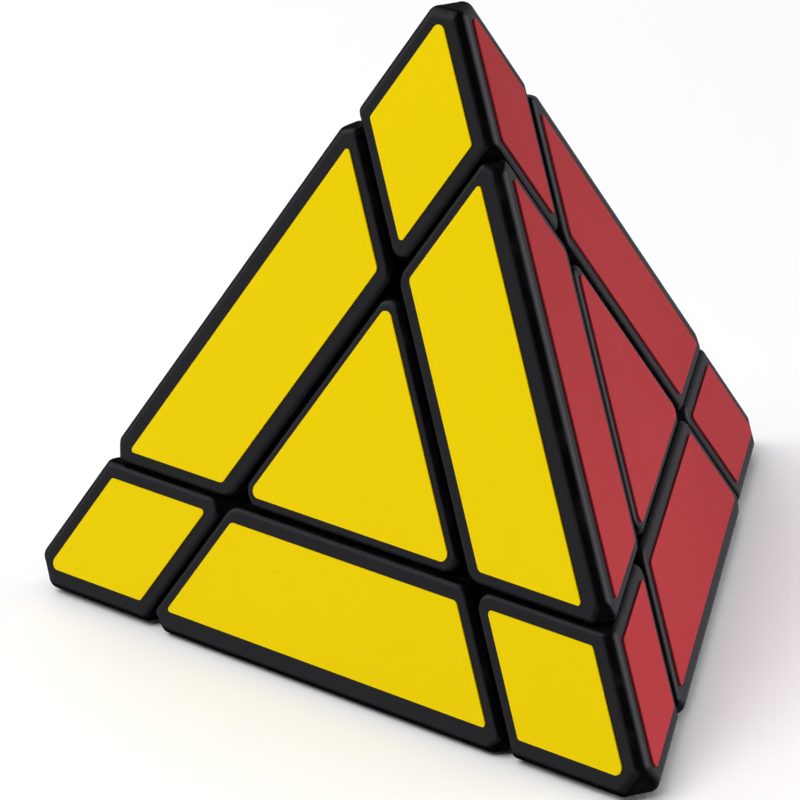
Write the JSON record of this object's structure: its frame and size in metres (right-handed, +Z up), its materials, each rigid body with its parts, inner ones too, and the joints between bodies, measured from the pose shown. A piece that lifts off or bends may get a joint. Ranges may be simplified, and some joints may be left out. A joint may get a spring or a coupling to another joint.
{
  "type": "pyramid twisty puzzle",
  "caption": "Four-faced pyramid twisty puzzle with deep cuts: each coloured face turns as a layer about its own axis through a hidden core.",
  "frame": {"origin": "centre of the base face, on the surface of its stickers, which the puzzle rests on", "axes": "+Z up through the top corner; -Y is the side that the front (yellow) face looks to; +X to that face's right"},
  "size_m": [0.0976, 0.0861, 0.0807],
  "materials": {
    "shell_plastic": "satin black moulded ABS",
    "mechanism_plastic": "matte black nylon",
    "steel": "zinc plated",
    "yellow_sticker": "semi-gloss vinyl",
    "red_sticker": "semi-gloss vinyl",
    "blue_sticker": "semi-gloss vinyl",
    "green_sticker": "semi-gloss vinyl"
  },
  "bodies": {
    "core": {"core_ball": "mechanism_plastic", "core_screws": "steel", "screw_washers": "steel", "tension_springs": "steel"},
    "front_centre": {"front_centre_hub": "mechanism_plastic", "front_centre_cap": "shell_plastic", "front_centre_front_sticker": "yellow_sticker"},
    "right_centre": {"right_centre_hub": "mechanism_plastic", "right_centre_cap": "shell_plastic", "right_centre_right_sticker": "red_sticker"},
    "left_centre": {"left_centre_hub": "mechanism_plastic", "left_centre_cap": "shell_plastic", "left_centre_left_sticker": "blue_sticker"},
    "base_centre": {"base_centre_hub": "mechanism_plastic", "base_centre_cap": "shell_plastic", "base_centre_base_sticker": "green_sticker"},
    "front_right_edge": {"front_right_edge_shell": "shell_plastic", "front_right_edge_foot": "mechanism_plastic", "front_right_edge_front_sticker": "yellow_sticker", "front_right_edge_right_sticker": "red_sticker"},
    "front_left_edge": {"front_left_edge_shell": "shell_plastic", "front_left_edge_foot": "mechanism_plastic", "front_left_edge_front_sticker": "yellow_sticker", "front_left_edge_left_sticker": "blue_sticker"},
    "front_base_edge": {"front_base_edge_shell": "shell_plastic", "front_base_edge_foot": "mechanism_plastic", "front_base_edge_front_sticker": "yellow_sticker", "front_base_edge_base_sticker": "green_sticker"},
    "right_left_edge": {"right_left_edge_shell": "shell_plastic", "right_left_edge_foot": "mechanism_plastic", "right_left_edge_right_sticker": "red_sticker", "right_left_edge_left_sticker": "blue_sticker"},
    "right_base_edge": {"right_base_edge_shell": "shell_plastic", "right_base_edge_foot": "mechanism_plastic", "right_base_edge_right_sticker": "red_sticker", "right_base_edge_base_sticker": "green_sticker"},
    "left_base_edge": {"left_base_edge_shell": "shell_plastic", "left_base_edge_foot": "mechanism_plastic", "left_base_edge_left_sticker": "blue_sticker", "left_base_edge_base_sticker": "green_sticker"},
    "top_corner": {"top_corner_shell": "shell_plastic", "top_corner_foot": "mechanism_plastic", "top_corner_front_sticker": "yellow_sticker", "top_corner_right_sticker": "red_sticker", "top_corner_left_sticker": "blue_sticker"},
    "left_corner": {"left_corner_shell": "shell_plastic", "left_corner_foot": "mechanism_plastic", "left_corner_front_sticker": "yellow_sticker", "left_corner_left_sticker": "blue_sticker", "left_corner_base_sticker": "green_sticker"},
    "right_corner": {"right_corner_shell": "shell_plastic", "right_corner_foot": "mechanism_plastic", "right_corner_front_sticker": "yellow_sticker", "right_corner_right_sticker": "red_sticker", "right_corner_base_sticker": "green_sticker"},
    "back_corner": {"back_corner_shell": "shell_plastic", "back_corner_foot": "mechanism_plastic", "back_corner_right_sticker": "red_sticker", "back_corner_left_sticker": "blue_sticker", "back_corner_base_sticker": "green_sticker"}
  },
  "joints": [
    {"name": "front_layer_turn", "type": "hinge", "parent": "core", "child": "front_centre", "pos_m": [0, 0, 0.02184], "axis": [0, -0.9428, 0.3333], "range_deg": [-360, 360]},
    {"name": "right_layer_turn", "type": "hinge", "parent": "core", "child": "right_centre", "pos_m": [0, 0, 0.02184], "axis": [0.8165, 0.4714, 0.3333], "range_deg": [-360, 360]},
    {"name": "left_layer_turn", "type": "hinge", "parent": "core", "child": "left_centre", "pos_m": [0, 0, 0.02184], "axis": [-0.8165, 0.4714, 0.3333], "range_deg": [-360, 360]},
    {"name": "base_layer_turn", "type": "hinge", "parent": "core", "child": "base_centre", "pos_m": [0, 0, 0.02184], "axis": [0, 0, -1], "continuous": true},
    {"name": "front_right_edge_right_turn", "type": "hinge", "parent": "front_centre", "child": "front_right_edge", "pos_m": [0, 0, 0.02184], "axis": [0.8165, 0.4714, 0.3333], "range_deg": [-360, 360]},
    {"name": "right_left_edge_left_turn", "type": "hinge", "parent": "right_centre", "child": "right_left_edge", "pos_m": [0, 0, 0.02184], "axis": [-0.8165, 0.4714, 0.3333], "range_deg": [-360, 360]},
    {"name": "front_left_edge_front_turn", "type": "hinge", "parent": "left_centre", "child": "front_left_edge", "pos_m": [0, 0, 0.02184], "axis": [0, -0.9428, 0.3333], "range_deg": [-360, 360]},
    {"name": "front_base_edge_front_turn", "type": "hinge", "parent": "base_centre", "child": "front_base_edge", "pos_m": [0, 0, 0.02184], "axis": [0, -0.9428, 0.3333], "range_deg": [-360, 360]},
    {"name": "right_base_edge_right_turn", "type": "hinge", "parent": "base_centre", "child": "right_base_edge", "pos_m": [0, 0, 0.02184], "axis": [0.8165, 0.4714, 0.3333], "range_deg": [-360, 360]},
    {"name": "left_base_edge_left_turn", "type": "hinge", "parent": "base_centre", "child": "left_base_edge", "pos_m": [0, 0, 0.02184], "axis": [-0.8165, 0.4714, 0.3333], "range_deg": [-360, 360]},
    {"name": "left_corner_left_turn", "type": "hinge", "parent": "front_base_edge", "child": "left_corner", "pos_m": [0, 0, 0.02184], "axis": [-0.8165, 0.4714, 0.3333], "range_deg": [-360, 360]},
    {"name": "right_corner_front_turn", "type": "hinge", "parent": "right_base_edge", "child": "right_corner", "pos_m": [0, 0, 0.02184], "axis": [0, -0.9428, 0.3333], "range_deg": [-360, 360]},
    {"name": "back_corner_right_turn", "type": "hinge", "parent": "left_base_edge", "child": "back_corner", "pos_m": [0, 0, 0.02184], "axis": [0.8165, 0.4714, 0.3333], "range_deg": [-360, 360]},
    {"name": "top_corner_left_turn", "type": "hinge", "parent": "front_right_edge", "child": "top_corner", "pos_m": [0, 0, 0.02184], "axis": [-0.8165, 0.4714, 0.3333], "range_deg": [-360, 360]}
  ],
  "couplings": [
    {"joint": "front_right_edge_right_turn", "follows": "right_layer_turn", "ratio": 1},
    {"joint": "right_left_edge_left_turn", "follows": "left_layer_turn", "ratio": 1},
    {"joint": "front_left_edge_front_turn", "follows": "front_layer_turn", "ratio": 1},
    {"joint": "front_base_edge_front_turn", "follows": "front_layer_turn", "ratio": 1},
    {"joint": "right_base_edge_right_turn", "follows": "right_layer_turn", "ratio": 1},
    {"joint": "left_base_edge_left_turn", "follows": "left_layer_turn", "ratio": 1},
    {"joint": "left_corner_left_turn", "follows": "left_layer_turn", "ratio": 1},
    {"joint": "right_corner_front_turn", "follows": "front_layer_turn", "ratio": 1},
    {"joint": "back_corner_right_turn", "follows": "right_layer_turn", "ratio": 1},
    {"joint": "top_corner_left_turn", "follows": "left_layer_turn", "ratio": 1}
  ]
}
